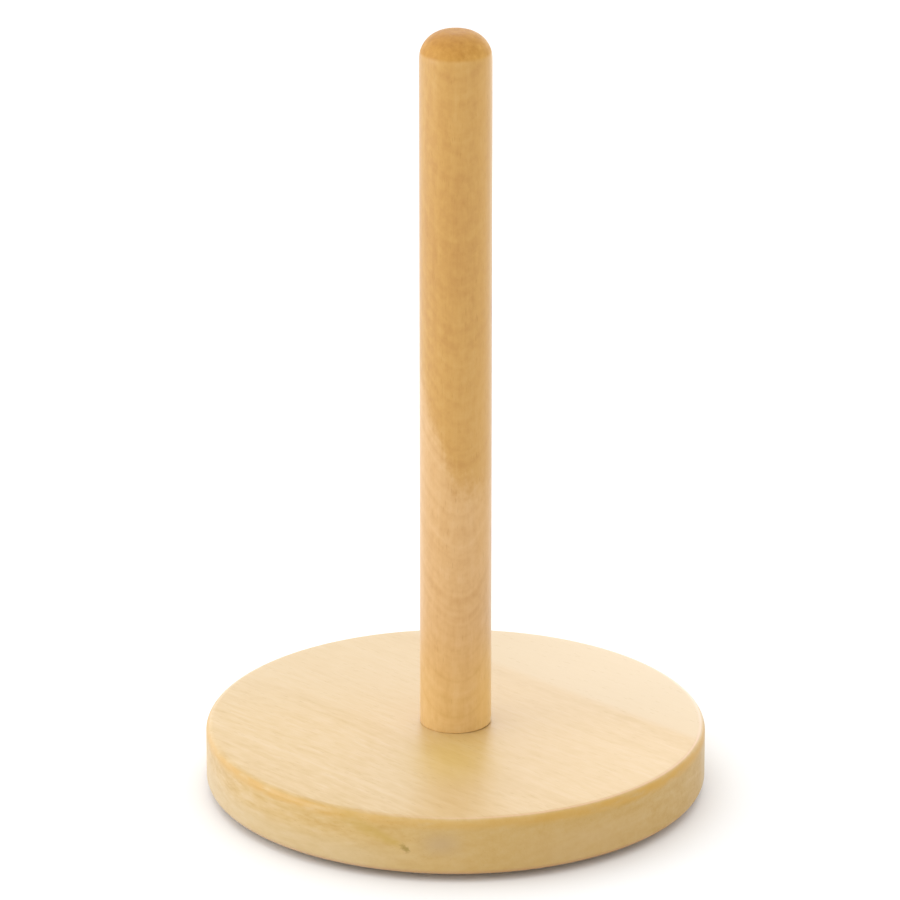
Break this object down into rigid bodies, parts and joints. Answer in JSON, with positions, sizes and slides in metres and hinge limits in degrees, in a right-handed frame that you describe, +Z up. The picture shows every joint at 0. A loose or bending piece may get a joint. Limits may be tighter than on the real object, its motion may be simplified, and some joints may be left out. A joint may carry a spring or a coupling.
{
  "type": "paper towel holder",
  "caption": "Free-standing upright holder: a plain round wooden base with one straight dowel post, rounded at the top, that takes a roll of paper towel.",
  "frame": {"origin": "centre of the base, on the surface that the holder stands on (the lower faces of the four pads)", "axes": "+Z up along the post; -Y is the front, towards the viewer; +X to the viewer's right. The grain of the base runs from the back left to the front right, at 45 degrees to X and Y"},
  "size_m": [0.178, 0.178, 0.2799],
  "materials": {
    "base_wood": "pale straight-grained hardwood under clear satin lacquer",
    "post_wood": "warm pale hardwood dowel under clear satin lacquer",
    "zinc_steel": "bright zinc plate",
    "insert_brass": "plain turned brass",
    "pad_rubber": "matt off-white rubber"
  },
  "bodies": {
    "root": {"base_disc": "base_wood", "post": "post_wood", "assembly_screw": "zinc_steel", "screw_washer": "zinc_steel", "threaded_insert": "insert_brass", "foot_pad_1": "pad_rubber", "foot_pad_2": "pad_rubber", "foot_pad_3": "pad_rubber", "foot_pad_4": "pad_rubber"}
  },
  "joints": []
}
